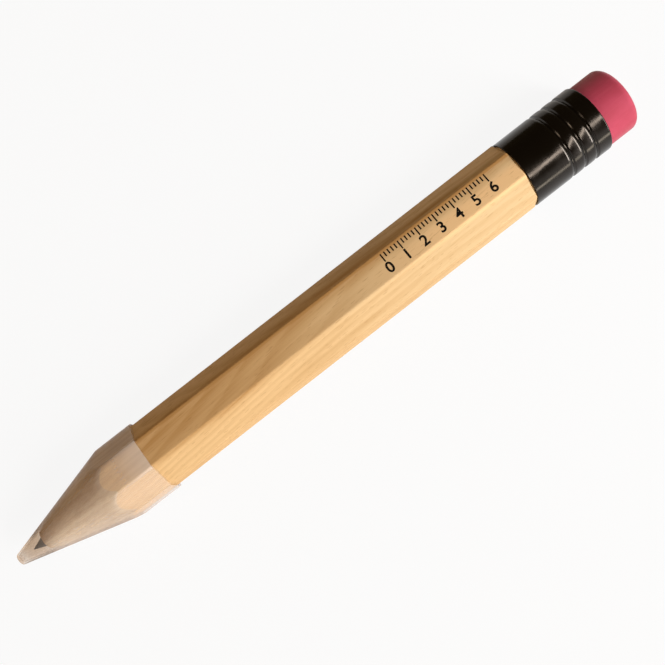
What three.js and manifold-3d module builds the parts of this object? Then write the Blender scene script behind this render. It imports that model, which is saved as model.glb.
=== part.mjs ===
// A giant wood-cased pencil with a clear cap over its point, in millimetres with +Z up.
// It lies along X with the point towards -X. The origin is on the surface that it lies on,
// under the middle of its length.

import * as THREE from 'three';
import { mergeVertices } from 'three/addons/utils/BufferGeometryUtils.js';
import loadManifold from 'manifold-3d';

const wasm = await loadManifold();
wasm.setup();

// Eight-sided wooden barrel, two glued slats
const BARREL_SIDES = 8;
const BARREL_ACROSS_FLATS = 33.25;
const BARREL_LENGTH = 234.7; // from the turned point's corners back to the ferrule
const POINT_LENGTH = 45.86; // from the wood's blunt front back to the barrel's corners
const POINT_FRONT_DIAMETER = 10.2; // of the wood's blunt front end
const POINT_CHAMFER_LENGTH = 5.6; // of the steeper cone behind the blunt front
const GLUE_LINE = 0.1; // film between the slats

// Graphite lead
const LEAD_DIAMETER = 5;
const LEAD_TIP_DIAMETER = 0.5;
const LEAD_HALF_ANGLE = THREE.MathUtils.degToRad(21.8);
const LEAD_EXPOSED_LENGTH = 7.47; // ahead of the wood
const LEAD_CLEARANCE = 0.1; // radial, to the slats' groove

// Ferrule: its front part grips the barrel's tenon, its rear part grips the eraser's plug
const TENON_LENGTH = 24;
const ERASER_PLUG_LENGTH = 20.64;
const FERRULE_STEP = 1; // how far the ferrule stands proud of the barrel's flats
const FERRULE_WALL = 0.85;
const FERRULE_CLEARANCE = 0.1; // radial, to the tenon and the plug
const FERRULE_FRONT_EDGE = 0.25; // rounding of the edge that meets the wood
const FERRULE_REAR_EDGE = 0.6; // rounding of the lip round the eraser
const GROOVE_COUNT = 3;
const GROOVE_WIDTH = 2.2;
const GROOVE_DEPTH = 0.45;
const GROOVE_PITCH = 6.85;
const GROOVE_REAR_MARGIN = 8.5; // from the last groove's middle to the ferrule's rear end

// Eraser
const ERASER_EXPOSED_LENGTH = 17.33;
const ERASER_EDGE = 3.8; // rounding of the end

// Clear cap: an eight-sided sleeve that runs into a cone with a blunt nose
const CAP_WALL = 0.85;
const CAP_CLEARANCE = 0.3; // to the barrel's flats
const CAP_POINT_CLEARANCE = 0.26; // radial, to the rear end of the point's chamfer
const CAP_SLEEVE_LENGTH = 20.2;
const CAP_SETBACK = 0.8; // the cap's cone starts this far ahead of the turned point's corners
const CAP_POINT_GAP = 6.9; // free space inside the cap ahead of the lead
const CAP_NOSE_WALL = 1.2;
const CAP_NOSE_RADIUS = 2.8; // of the cone at the nose's front plane
const CAP_NOSE_EDGE = 1; // rounding of the nose

// Fineness of the round surfaces: a whole number of segments to each barrel side
const SEGMENTS_PER_SIDE = 6;
const ROUND_SEGMENTS = BARREL_SIDES * SEGMENTS_PER_SIDE;
const LEAD_SEGMENTS = 24;
const EDGE_STEPS = 4;
const GROOVE_STEPS = 6;
const CUT_MARGIN = 1; // how far a cutting or joining solid runs past what it cuts or joins

// Radii that follow from the sizes above
const cornerShare = 1 / Math.cos(Math.PI / BARREL_SIDES);
const barrelCornerRadius = (BARREL_ACROSS_FLATS / 2) * cornerShare;
const pointFrontRadius = POINT_FRONT_DIAMETER / 2;
const leadRadius = LEAD_DIAMETER / 2;
const leadTipRadius = LEAD_TIP_DIAMETER / 2;
const ferruleRadius = BARREL_ACROSS_FLATS / 2 + FERRULE_STEP;
const ferruleBoreRadius = ferruleRadius - FERRULE_WALL;
const plugRadius = ferruleBoreRadius - FERRULE_CLEARANCE;
const capBoreAcrossFlats = BARREL_ACROSS_FLATS + 2 * CAP_CLEARANCE;
const capAcrossFlats = capBoreAcrossFlats + 2 * CAP_WALL;
const capCornerRadius = (capAcrossFlats / 2) * cornerShare;

// Places along the pencil, from the joint between the wood and the ferrule
const cornerX = -BARREL_LENGTH;
const woodFrontX = cornerX - POINT_LENGTH;
const chamferX = woodFrontX + POINT_CHAMFER_LENGTH;
const leadTipX = woodFrontX - LEAD_EXPOSED_LENGTH;
const leadShoulderX = leadTipX + (leadRadius - leadTipRadius) / Math.tan(LEAD_HALF_ANGLE);
const ferruleEndX = TENON_LENGTH + ERASER_PLUG_LENGTH;
const eraserEndX = ferruleEndX + ERASER_EXPOSED_LENGTH;
const capFrontX = leadTipX - CAP_POINT_GAP - CAP_NOSE_WALL;
const capConeEndX = cornerX - CAP_SETBACK;
const capRearX = capConeEndX + CAP_SLEEVE_LENGTH;
const capSlope = (capCornerRadius - CAP_NOSE_RADIUS) / (capConeEndX - capFrontX);

// Radius of the cap's cone at a place along it, on a surface this far inside the outer one.
function capConeRadius(x, inset) {
  return CAP_NOSE_RADIUS + (x - capFrontX) * capSlope - inset * Math.hypot(1, capSlope);
}

// The turned point fills the cap's cone from its chamfer back.
const chamferRadius = capConeRadius(chamferX, CAP_WALL) - CAP_POINT_CLEARANCE;
const pointSlope = (barrelCornerRadius - chamferRadius) / (cornerX - chamferX);

// A solid turned about X, from a profile of [x, radius] points that starts and ends on the axis
// or closes on itself.
function turned(profile, segments = ROUND_SEGMENTS) {
  const points = profile.map(([x, radius]) => new THREE.Vector2(radius, x));
  const geometry = new THREE.LatheGeometry(points, segments);
  return geometry.rotateZ(-Math.PI / 2);
}

// A prism with the barrel's number of sides along X, with a flat on top and underneath.
function prism(acrossFlats, startX, endX) {
  const radius = (acrossFlats / 2) * cornerShare;
  const corners = [];
  for (let side = 0; side < BARREL_SIDES; side += 1) {
    const angle = ((side + 0.5) * 2 * Math.PI) / BARREL_SIDES;
    corners.push(new THREE.Vector2(radius * Math.cos(angle), radius * Math.sin(angle)));
  }
  const outline = new THREE.Shape(corners);
  const geometry = new THREE.ExtrudeGeometry(outline, { depth: endX - startX, bevelEnabled: false });
  return geometry.rotateY(Math.PI / 2).translate(startX, 0, 0);
}

// Profile points of a rounded edge: an arc about [x, radius] from one direction to another,
// both in degrees from +X towards the outside.
function roundedEdge(centreX, centreRadius, size, fromDegrees, toDegrees) {
  const points = [];
  for (let step = 0; step <= EDGE_STEPS; step += 1) {
    const degrees = THREE.MathUtils.lerp(fromDegrees, toDegrees, step / EDGE_STEPS);
    const angle = THREE.MathUtils.degToRad(degrees);
    points.push([centreX + size * Math.cos(angle), centreRadius + size * Math.sin(angle)]);
  }
  return points;
}

// Turns a closed geometry into a solid that can be joined and cut.
function solidOf(geometry) {
  const bare = geometry.clone();
  bare.deleteAttribute('normal');
  bare.deleteAttribute('uv');
  const merged = mergeVertices(bare);
  const index = merged.index.array;
  const triangles = [];
  for (let first = 0; first < index.length; first += 3) {
    const [a, b, c] = index.slice(first, first + 3);
    if (a !== b && b !== c && c !== a) {
      triangles.push(a, b, c);
    }
  }
  const mesh = new wasm.Mesh({
    numProp: 3,
    vertProperties: merged.attributes.position.array,
    triVerts: Uint32Array.from(triangles),
  });
  return new wasm.Manifold(mesh);
}

// Turns a solid back into a geometry.
function geometryOf(solid) {
  const mesh = solid.getMesh();
  const geometry = new THREE.BufferGeometry();
  geometry.setAttribute('position', new THREE.BufferAttribute(mesh.vertProperties, 3));
  geometry.setIndex(new THREE.BufferAttribute(mesh.triVerts, 1));
  geometry.computeVertexNormals();
  return geometry;
}

// The whole casing before it is split: barrel, blunt turned point, tenon and the bore for the lead.
function casing() {
  const barrel = solidOf(prism(BARREL_ACROSS_FLATS, woodFrontX - CUT_MARGIN, 0));
  const coneEndRadius = barrelCornerRadius + CUT_MARGIN;
  const cone = solidOf(turned([
    [woodFrontX, 0],
    [woodFrontX, pointFrontRadius],
    [chamferX, chamferRadius],
    [cornerX + CUT_MARGIN / pointSlope, coneEndRadius],
    [CUT_MARGIN, coneEndRadius],
    [CUT_MARGIN, 0],
  ]));
  const tenon = solidOf(turned([
    [-CUT_MARGIN, 0],
    [-CUT_MARGIN, plugRadius],
    [TENON_LENGTH, plugRadius],
    [TENON_LENGTH, 0],
  ]));
  const boreRadius = leadRadius + LEAD_CLEARANCE;
  const bore = solidOf(turned([
    [woodFrontX - CUT_MARGIN, 0],
    [woodFrontX - CUT_MARGIN, boreRadius],
    [TENON_LENGTH + CUT_MARGIN, boreRadius],
    [TENON_LENGTH + CUT_MARGIN, 0],
  ], LEAD_SEGMENTS));
  return barrel.intersect(cone).add(tenon).subtract(bore);
}

// One of the two slats: the half of the casing above or below the glue line.
function slat(side) {
  const length = TENON_LENGTH - woodFrontX + 2 * CUT_MARGIN;
  const width = 2 * (barrelCornerRadius + CUT_MARGIN);
  const height = barrelCornerRadius + CUT_MARGIN;
  const half = new THREE.BoxGeometry(length, width, height);
  half.translate((TENON_LENGTH + woodFrontX) / 2, 0, side * (height + GLUE_LINE) / 2);
  return geometryOf(casing().intersect(solidOf(half)));
}

function lead() {
  return turned([
    [leadTipX, 0],
    [leadTipX, leadTipRadius],
    [leadShoulderX, leadRadius],
    [TENON_LENGTH, leadRadius],
    [TENON_LENGTH, 0],
  ], LEAD_SEGMENTS);
}

// Profile points of one ring groove, a smooth hollow about its middle.
function groove(middleX) {
  const points = [];
  for (let step = 0; step <= GROOVE_STEPS; step += 1) {
    const across = step / GROOVE_STEPS - 0.5;
    const depth = GROOVE_DEPTH * Math.cos(across * Math.PI) ** 2;
    points.push([middleX + across * GROOVE_WIDTH, ferruleRadius - depth]);
  }
  return points;
}

function ferrule() {
  const frontRadius = ferruleRadius - FERRULE_FRONT_EDGE;
  const front = roundedEdge(FERRULE_FRONT_EDGE, frontRadius, FERRULE_FRONT_EDGE, 180, 90);
  const rearX = ferruleEndX - FERRULE_REAR_EDGE;
  const rearRadius = ferruleRadius - FERRULE_REAR_EDGE;
  const rear = roundedEdge(rearX, rearRadius, FERRULE_REAR_EDGE, 90, 0);
  const grooves = [];
  for (let ring = GROOVE_COUNT - 1; ring >= 0; ring -= 1) {
    grooves.push(...groove(ferruleEndX - GROOVE_REAR_MARGIN - ring * GROOVE_PITCH));
  }
  const boreFront = [0, ferruleBoreRadius];
  const boreRear = [ferruleEndX, ferruleBoreRadius];
  return turned([boreFront, ...front, ...grooves, ...rear, boreRear, boreFront]);
}

function eraser() {
  const edge = roundedEdge(eraserEndX - ERASER_EDGE, plugRadius - ERASER_EDGE, ERASER_EDGE, 90, 0);
  return turned([[TENON_LENGTH, 0], [TENON_LENGTH, plugRadius], ...edge, [eraserEndX, 0]]);
}

// A cap surface: the sleeve's prism cut by a cone, which the nose's profile points lead up to.
// The cone is inset from the outer one, square to its surface.
function capForm(acrossFlats, rearX, inset, nose) {
  const coneEndX = capConeEndX + CUT_MARGIN / capSlope;
  const coneEndRadius = capConeRadius(coneEndX, inset);
  const cone = turned([
    ...nose,
    [coneEndX, coneEndRadius],
    [rearX + CUT_MARGIN, coneEndRadius],
    [rearX + CUT_MARGIN, 0],
  ]);
  return solidOf(prism(acrossFlats, capFrontX - CUT_MARGIN, rearX)).intersect(solidOf(cone));
}

function cap() {
  const edgeX = capFrontX + CAP_NOSE_EDGE;
  const coneNormal = 90 + THREE.MathUtils.radToDeg(Math.atan(capSlope));
  const noseEdge = roundedEdge(edgeX, capConeRadius(edgeX, CAP_NOSE_EDGE), CAP_NOSE_EDGE, 180, coneNormal);
  const outerNose = [[capFrontX, 0], ...noseEdge];
  const innerX = capFrontX + CAP_NOSE_WALL;
  const innerNose = [[innerX, 0], [innerX, capConeRadius(innerX, CAP_WALL)]];
  const outer = capForm(capAcrossFlats, capRearX, 0, outerNose);
  const inner = capForm(capBoreAcrossFlats, capRearX + CUT_MARGIN, CAP_WALL, innerNose);
  return geometryOf(outer.subtract(inner));
}

const pencil = new THREE.Group();
pencil.position.set(-(capFrontX + eraserEndX) / 2, 0, capAcrossFlats / 2);

function addPiece(name, geometry, look) {
  const piece = new THREE.Mesh(geometry, new THREE.MeshStandardMaterial({ metalness: 0, ...look }));
  piece.name = name;
  pencil.add(piece);
}

addPiece('upper_slat', slat(1), { color: 0xd9aa70, roughness: 0.35 });
addPiece('lower_slat', slat(-1), { color: 0xd9aa70, roughness: 0.35 });
addPiece('graphite_lead', lead(), { color: 0x3d3a38, roughness: 0.45, metalness: 0.2 });
addPiece('ferrule', ferrule(), { color: 0x0d0a08, roughness: 0.25 });
addPiece('eraser', eraser(), { color: 0xd85f74, roughness: 0.7 });
addPiece('tip_cap', cap(), { color: 0xeadfd6, roughness: 0.2, transparent: true, opacity: 0.35 });

const part = new THREE.Group();
part.add(pencil);

export default part;
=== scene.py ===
import math

import bmesh
import bpy
from mathutils import Matrix, Vector, noise


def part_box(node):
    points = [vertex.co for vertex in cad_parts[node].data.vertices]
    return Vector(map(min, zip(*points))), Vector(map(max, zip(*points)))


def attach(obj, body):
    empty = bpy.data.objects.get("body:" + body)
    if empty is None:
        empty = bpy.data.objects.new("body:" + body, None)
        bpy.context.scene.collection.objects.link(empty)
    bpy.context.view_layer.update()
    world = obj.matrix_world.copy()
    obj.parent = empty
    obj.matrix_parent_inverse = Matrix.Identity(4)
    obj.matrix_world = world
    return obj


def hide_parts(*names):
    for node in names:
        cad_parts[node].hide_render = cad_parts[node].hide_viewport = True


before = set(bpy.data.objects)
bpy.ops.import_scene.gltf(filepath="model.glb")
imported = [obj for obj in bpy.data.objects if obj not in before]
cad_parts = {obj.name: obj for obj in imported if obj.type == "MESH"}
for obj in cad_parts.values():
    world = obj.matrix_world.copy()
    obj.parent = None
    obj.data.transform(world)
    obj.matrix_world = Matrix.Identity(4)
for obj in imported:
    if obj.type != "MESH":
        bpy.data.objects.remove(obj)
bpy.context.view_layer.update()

# Lengths are in millimetres and become metres where points are made.
MM = 0.001


def limits(node):
    """A node's lowest and highest corner at rest, in millimetres."""
    return [[value / MM for value in corner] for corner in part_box(node)]


# Places and outer sizes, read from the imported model
wood_low, wood_high = limits("upper_slat")
lead_low, lead_high = limits("graphite_lead")
ferrule_low, ferrule_high = limits("ferrule")
eraser_low, eraser_high = limits("eraser")
cap_low, cap_high = limits("tip_cap")
AXIS = (ferrule_low[2] + ferrule_high[2]) / 2
BARREL_FLAT = wood_high[2] - AXIS
LEAD_RADIUS = lead_high[1]
FERRULE_RADIUS = ferrule_high[1]
ERASER_RADIUS = eraser_high[1]
CAP_FLAT = cap_high[1]
POINT_FRONT = wood_low[0]
TENON_END = wood_high[0]
LEAD_TIP = lead_low[0]
LEAD_END = lead_high[0]
SHOULDER = ferrule_low[0]
FERRULE_END = ferrule_high[0]
ERASER_FRONT = eraser_low[0]
ERASER_END = eraser_high[0]
CAP_FRONT = cap_low[0]
CAP_REAR = cap_high[0]

# Wooden casing
SIDES = 8
SECTOR = 2 * math.pi / SIDES
FLAT_STEPS = 4
EDGE_STEPS = 6
BARREL_EDGE_RADIUS = 1.6
BARREL_STEPS = 60
BARREL_WAVE = 0.02
BARREL_WAVE_LENGTH = 16
BARREL_END_BEVEL = 0.3
POINT_LENGTH = 45.86
POINT_FRONT_RADIUS = 5.1
POINT_FRONT_EDGE = 0.3
POINT_FRONT_STEPS = 4
POINT_CHAMFER_LENGTH = 5.6
POINT_CHAMFER_STEPS = 4
POINT_STEPS = 20
TENON_RADIUS = 16.6
SEAM_HALF_GAP = 0.05
SEAM_CHAMFER = 0.14
# The flats, counted round from the top one, from whose middle each slat starts
UPPER_FIRST_SIDE = 6
LOWER_FIRST_SIDE = 2

# Lead
LEAD_TIP_RADIUS = 0.25
LEAD_TIP_ARC = (160, 110)
LEAD_TIP_STEPS = 3
LEAD_SLOPE = math.tan(math.radians(21.8))
LEAD_CLEARANCE = 0.1
LEAD_CONE_STEPS = 8

# Ferrule
FERRULE_BORE = 16.775
FERRULE_GAP = 0.5
FERRULE_FRONT_EDGE = 0.3
FERRULE_FRONT_STEPS = 5
FERRULE_REAR_EDGE = 0.7
FERRULE_REAR_STEPS = 6
GROOVE_COUNT = 3
GROOVE_PITCH = 6.85
GROOVE_REAR_MARGIN = 8.5
GROOVE_DEPTH = 0.72
GROOVE_LIP_RADIUS = 3.5
GROOVE_LIP_STEPS = 8
GROOVE_FLOOR = 0.4
GROOVE_REAR_WALL = 0.4
GROOVE_REAR_LIP = 0.35
GROOVE_REAR_ARC = (150, 90)
GROOVE_REAR_STEPS = 4
RIDGE_CROWN = 0.05
RIDGE_END_LEAN = math.radians(3.3)
RIDGE_STEPS = 8

# Eraser
ERASER_EDGE = 3.8
ERASER_EDGE_STEPS = 12
ERASER_SIDE_STEPS = 10
ERASER_END_SHARES = (0.75, 0.5, 0.25, 0.0)

# Cap
CAP_WALL = 0.85
CAP_EDGE_RADIUS = 1.3
CAP_NOSE_RADIUS = 2.8
CAP_NOSE_WALL = 1.2
CAP_NOSE_EDGE = 1.0
CAP_NOSE_EDGE_STEPS = 6
CAP_NOSE_RUN = 0.4
CAP_SETBACK = 0.8
CAP_POINT_CLEARANCE = 0.26
CAP_RIM = 0.2
CAP_RIM_STEPS = 3
CAP_STEPS = 24
CAP_CORNER_RADIUS = CAP_FLAT / math.cos(SECTOR / 2)
CAP_CONE_END = POINT_FRONT + POINT_LENGTH - CAP_SETBACK
CAP_SLOPE = (CAP_CORNER_RADIUS - CAP_NOSE_RADIUS) / (CAP_CONE_END - CAP_FRONT)
CAP_WALL_ACROSS = CAP_WALL * math.hypot(1, CAP_SLOPE)

# The turned point, which fills the cap's cone from its chamfer back
CHAMFER_X = POINT_FRONT + POINT_CHAMFER_LENGTH
CAP_BORE_AT_CHAMFER = CAP_NOSE_RADIUS + (CHAMFER_X - CAP_FRONT) * CAP_SLOPE - CAP_WALL_ACROSS
CHAMFER_RADIUS = CAP_BORE_AT_CHAMFER - CAP_POINT_CLEARANCE
BARREL_CORNER_RADIUS = BARREL_FLAT / math.cos(SECTOR / 2)
CHAMFER_SLOPE = (CHAMFER_RADIUS - POINT_FRONT_RADIUS) / POINT_CHAMFER_LENGTH
POINT_SLOPE = (BARREL_CORNER_RADIUS - CHAMFER_RADIUS) / (POINT_LENGTH - POINT_CHAMFER_LENGTH)

ROUND_STEPS = 144
LEAD_STEPS = 48
SHARP_ANGLE = math.radians(32)
WELD_DISTANCE = 1e-6

# Directions of a profile's arcs, in degrees
REARWARD = 0
OUTWARD = 90
FORWARD = 180
INWARD = -90


# Mesh helpers


def place(x, radius, angle):
    """A point at a distance from the pencil's axis, at an angle from straight up, in metres."""
    return Vector((x, radius * math.sin(angle), AXIS + radius * math.cos(angle))) * MM


def arc(centre_x, centre_radius, size, start, end, steps):
    """Points (x, radius) round part of a circle. Angles run from +X towards larger radius."""
    points = []
    for step in range(steps + 1):
        turn = math.radians(start + (end - start) * step / steps)
        points.append((centre_x + size * math.cos(turn), centre_radius + size * math.sin(turn)))
    return points


def rounded_outline(flat, edge_radius):
    """Once round an eight-sided outline with rounded corners, from the middle of its top flat.

    Gives (angle, distance from the axis) pairs, the same number for each side.
    """
    flat_half = (flat - edge_radius) * math.tan(SECTOR / 2)
    pairs = []
    for side in range(SIDES):
        turn = side * SECTOR
        steps_across = [flat_half * step / FLAT_STEPS for step in range(FLAT_STEPS)]
        for across in steps_across:
            pairs.append((turn + math.atan2(across, flat), math.hypot(across, flat)))
        for step in range(EDGE_STEPS + 1):
            lean = SECTOR * step / EDGE_STEPS
            out = flat - edge_radius + edge_radius * math.cos(lean)
            across = flat_half + edge_radius * math.sin(lean)
            pairs.append((turn + math.atan2(across, out), math.hypot(across, out)))
        for across in reversed(steps_across[1:]):
            pairs.append((turn + SECTOR - math.atan2(across, flat), math.hypot(across, flat)))
    return pairs


def finish_shape(name, shape, materials):
    """Turn a working mesh into an object with smooth faces and sharp corners."""
    bmesh.ops.remove_doubles(shape, verts=shape.verts, dist=WELD_DISTANCE)
    bmesh.ops.recalc_face_normals(shape, faces=shape.faces)
    for face in shape.faces:
        face.smooth = True
    for edge in shape.edges:
        edge.smooth = edge.calc_face_angle(0) < SHARP_ANGLE
    mesh = bpy.data.meshes.new(name)
    shape.to_mesh(mesh)
    shape.free()
    for material in materials:
        mesh.materials.append(material)
    made = bpy.data.objects.new(name, mesh)
    bpy.context.scene.collection.objects.link(made)
    weighted = made.modifiers.new("even_shading", "WEIGHTED_NORMAL")
    weighted.keep_sharp = True
    return made


def join_strips(shape, grid, around, strip_materials):
    """Join each column of corners to the next, with one material number for each strip of faces.

    Where the columns go around, the last one joins the first. A strip past the last row joins the first row.
    """
    neighbours = grid[1:] + grid[:1] if around else grid[1:]
    for first, second in zip(grid, neighbours):
        for row, material_index in enumerate(strip_materials):
            after = (row + 1) % len(first)
            face = shape.faces.new((first[row], first[after], second[after], second[row]))
            face.material_index = material_index


def lathe(name, profile, steps, materials):
    """A round piece from (x, radius) points that go from the axis to the axis, or close on a bore."""
    shape = bmesh.new()
    grid = []
    for step in range(steps):
        angle = 2 * math.pi * step / steps
        grid.append([shape.verts.new(place(x, radius, angle)) for x, radius in profile])
    on_axis = profile[0][1] == 0
    strips = len(profile) - 1 if on_axis else len(profile)
    join_strips(shape, grid, True, [0] * strips)
    return finish_shape(name, shape, materials)


def dress(piece, body, slot, *nodes):
    """Let a piece move with a body and stand for solids of the model. The slot argument is not used."""
    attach(piece, body)
    if nodes:
        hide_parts(*nodes)


# Material helpers

ACROSS_ONLY = (0, 1, 1)
WHITE = (1, 1, 1, 1)


class Tree:
    """The node tree of a material or the world, with short ways to add to it."""

    def __init__(self, owner):
        owner.use_nodes = True
        self.nodes = owner.node_tree.nodes
        self.links = owner.node_tree.links
        self.nodes.clear()

    def feed(self, socket, value):
        """Join an output to a socket, or set the socket's own value."""
        if isinstance(value, bpy.types.NodeSocket):
            self.links.new(value, socket)
        else:
            socket.default_value = value

    def add(self, kind, inputs=None, **settings):
        """A new node with its settings and inputs. Inputs are keyed by name or number."""
        made = self.nodes.new("ShaderNode" + kind)
        for name, value in settings.items():
            setattr(made, name, value)
        for key, value in (inputs or {}).items():
            self.feed(made.inputs[key], value)
        return made

    def math(self, operation, first, second=0.0):
        return self.add("Math", {0: first, 1: second}, operation=operation).outputs[0]

    def plus(self, first, *others):
        for other in others:
            first = self.math("ADD", first, other)
        return first

    def minus(self, first, second):
        return self.math("SUBTRACT", first, second)

    def times(self, first, *others):
        for other in others:
            first = self.math("MULTIPLY", first, other)
        return first

    def larger(self, first, second):
        return self.math("MAXIMUM", first, second)

    def vector(self, operation, first, second):
        return self.add("VectorMath", {0: first, 1: second}, operation=operation).outputs

    def scaled(self, vector, scale):
        """A vector, with each part times a number of its own."""
        return self.vector("MULTIPLY", vector, scale)["Vector"]

    def moved(self, vector, step):
        return self.vector("ADD", vector, step)["Vector"]

    def ease(self, value, low, high, start=0.0, end=1.0):
        """A soft step from start at low to end at high."""
        made = self.add("MapRange", {0: value, 1: low, 2: high, 3: start, 4: end},
                        interpolation_type="SMOOTHSTEP")
        return made.outputs[0]

    def blend(self, share, first, second):
        """Two colours mixed by a share."""
        return self.add("Mix", {0: share, 6: first, 7: second}, data_type="RGBA").outputs[2]

    def mix(self, share, first, second):
        """Two shaders mixed by a share."""
        return self.add("MixShader", {0: share, 1: first.outputs[0], 2: second.outputs[0]})

    def noise(self, vector, scale, detail=3.0, roughness=0.5):
        """Noise from 0 to 1, stretched by a scale along each axis."""
        made = self.add("TexNoise", {"Vector": self.scaled(vector, scale), "Scale": 1.0,
                                     "Detail": detail, "Roughness": roughness})
        return made.outputs["Fac"]

    def point(self):
        """The place on a piece, in millimetres."""
        where = self.add("TexCoord").outputs["Object"]
        return self.scaled(where, (1 / MM, 1 / MM, 1 / MM))

    def parts(self, vector):
        return self.add("SeparateXYZ", {0: vector}).outputs

    def joined(self, x, y, z):
        return self.add("CombineXYZ", {0: x, 1: y, 2: z}).outputs[0]

    def bump(self, height, strength, distance):
        made = self.add("Bump", {"Height": height, "Strength": strength, "Distance": distance * MM})
        return made.outputs["Normal"]

    def finish(self, shader):
        kind = "OutputWorld" if shader.type == "BACKGROUND" else "OutputMaterial"
        self.add(kind, {"Surface": shader.outputs[0]})


def new_material(name):
    made = bpy.data.materials.new(name)
    return made, Tree(made)


def turn_about_axis(tree, point):
    """The angle of a place about the pencil's axis, from straight up."""
    parts = tree.parts(point)
    return tree.math("ARCTAN2", parts[1], tree.minus(parts[2], AXIS))


# Materials. Scales are noise cycles for each millimetre along X, Y and Z. Ramps are (low, high) or
# (low, high, start, end) of a soft step. Bumps are a strength and a depth in millimetres.

RING_SPACING = 3.0
RING_OFFSET = (0, 26, 62)
RING_SLOPE = (0.0, -0.27, 0.0)
RING_RISE = (0.2, 0.8)
RING_FALL = (1.0, 0.86)
RING_DRIFT_SCALE = (0.011, 0.05, 0.05)
RING_DRIFT_SIZE = 6.0
FIBRE_SLOPE = (0.0, -0.07, 0.0)
FIBRE_SCALE = (0.018, 1.2, 1.2)
FIBRE_LIMITS = (0.3, 0.75)
STREAK_SCALE = (0.012, 0.16, 0.16)
STREAK_LIMITS = (0.42, 0.70)
FLECK_SCALE = (0.19, 2.1, 2.1)
FLECK_RAMP = (0.645, 0.72)
LATE_DARK = 0.2


def slanted(tree, point, slope):
    """A place in the wood, shifted sideways in step with its distance along the pencil."""
    along = tree.parts(point)[0]
    return tree.moved(tree.scaled(tree.joined(along, along, along), slope), point)


def wood_pattern(tree, point):
    """Shares of dark rings, fibre and broad streaks at each place in the wood."""
    drift = tree.noise(point, RING_DRIFT_SCALE, detail=2.0)
    wander = tree.times(tree.minus(drift, 0.5), RING_DRIFT_SIZE)
    from_pith = tree.scaled(tree.moved(slanted(tree, point, RING_SLOPE), RING_OFFSET), ACROSS_ONLY)
    distance = tree.add("VectorMath", {0: from_pith}, operation="LENGTH").outputs["Value"]
    rings = tree.math("FRACT", tree.math("DIVIDE", tree.plus(distance, wander), RING_SPACING))
    late = tree.times(tree.ease(rings, *RING_RISE), tree.ease(rings, *RING_FALL))
    fibres = slanted(tree, point, FIBRE_SLOPE)
    fibre = tree.noise(fibres, FIBRE_SCALE, detail=5.0, roughness=0.62)
    streak = tree.noise(fibres, STREAK_SCALE)
    return late, fibre, streak


def varnish_crown(tree, point):
    """A height for varnish that lies thickest along the middle of each flat."""
    turn = turn_about_axis(tree, point)
    middle = tree.times(tree.math("ROUND", tree.math("DIVIDE", turn, SECTOR)), SECTOR)
    across = tree.math("TANGENT", tree.minus(turn, middle))
    return tree.times(across, across, -1.0)


# Varnished barrel. Ramps named ALONG run along the pencil and those named ACROSS from front to back.
# Those named OFF_CORNER run away from the long edge behind the top flat.
WOOD_PALE = (0.765, 0.505, 0.250, 1)
WOOD_REAR = (0.695, 0.495, 0.272, 1)
# Painted light: a paler copy of the wood for the top flat's near side towards the rear.
WOOD_PAINTED_LIT_TOP = (0.86, 0.565, 0.290, 1)
# Painted light: a paler copy of the wood for the rear of the flat behind the top flat.
WOOD_FAR_PAINTED_LIGHT = (0.86, 0.60, 0.33, 1)
WOOD_DEEP = (0.50, 0.270, 0.098, 1)
WOOD_FLECK = (0.40, 0.205, 0.075, 1)
BARREL_TOP = AXIS + BARREL_FLAT
BACK_CORNER = (0, BARREL_FLAT * math.tan(SECTOR / 2), BARREL_TOP)
BARREL_FIBRE_DARK = (0.38, 0.72, 0.0, 0.16)
BARREL_STREAK_DARK = 0.22
BARREL_FLECK_DARK = 0.38
BARREL_FLECK_DEPTH = 0.5
BARREL_BUMP = (0.2, 0.05)
BARREL_ROUGHNESS = (0.45, 0.6)
VARNISH_BUMP = (1.0, 4.5)
TOP_FLAT_HEIGHT = (BARREL_TOP - 2.2, BARREL_TOP - 0.4)
TOP_LIGHT_AND_SHADE_ALONG = (60, -75, -0.30, 0.50)
TOP_LIGHT_AND_SHADE_FRONT_ALONG = (-125, -92)
CORNER_SHADE_OFF_CORNER = (7.5, 2.0)
CORNER_SHADE_GROWTH_ALONG = (-70, 50, 0.0, 0.6)
CORNER_SHADE_FADE_ALONG = (70, 118, 1.0, 0.5)
BACK_SIDE_ACROSS = (4, 8)
FAR_SHEEN_OFF_CORNER = (8.5, 13.0)
FAR_SHEEN_PALER = 0.25
FAR_LIGHT_OFF_CORNER = (2.0, 6.0)
FAR_LIGHT_ALONG = (15, 112)
FAR_LIGHT_PALER = 0.2
EDGE_SHADE_START_ACROSS = (4.8, 6.0)
EDGE_SHADE_END_ACROSS = (7.4, 6.8)
EDGE_SHADE_GROWTH_ALONG = (-20, 100, 0.4, 0.85)
REAR_TONE_ALONG = (-70, 110)
LIT_TOP_ACROSS = (4.0, -2.0)
LIT_TOP_ALONG = (15, 85)


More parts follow.
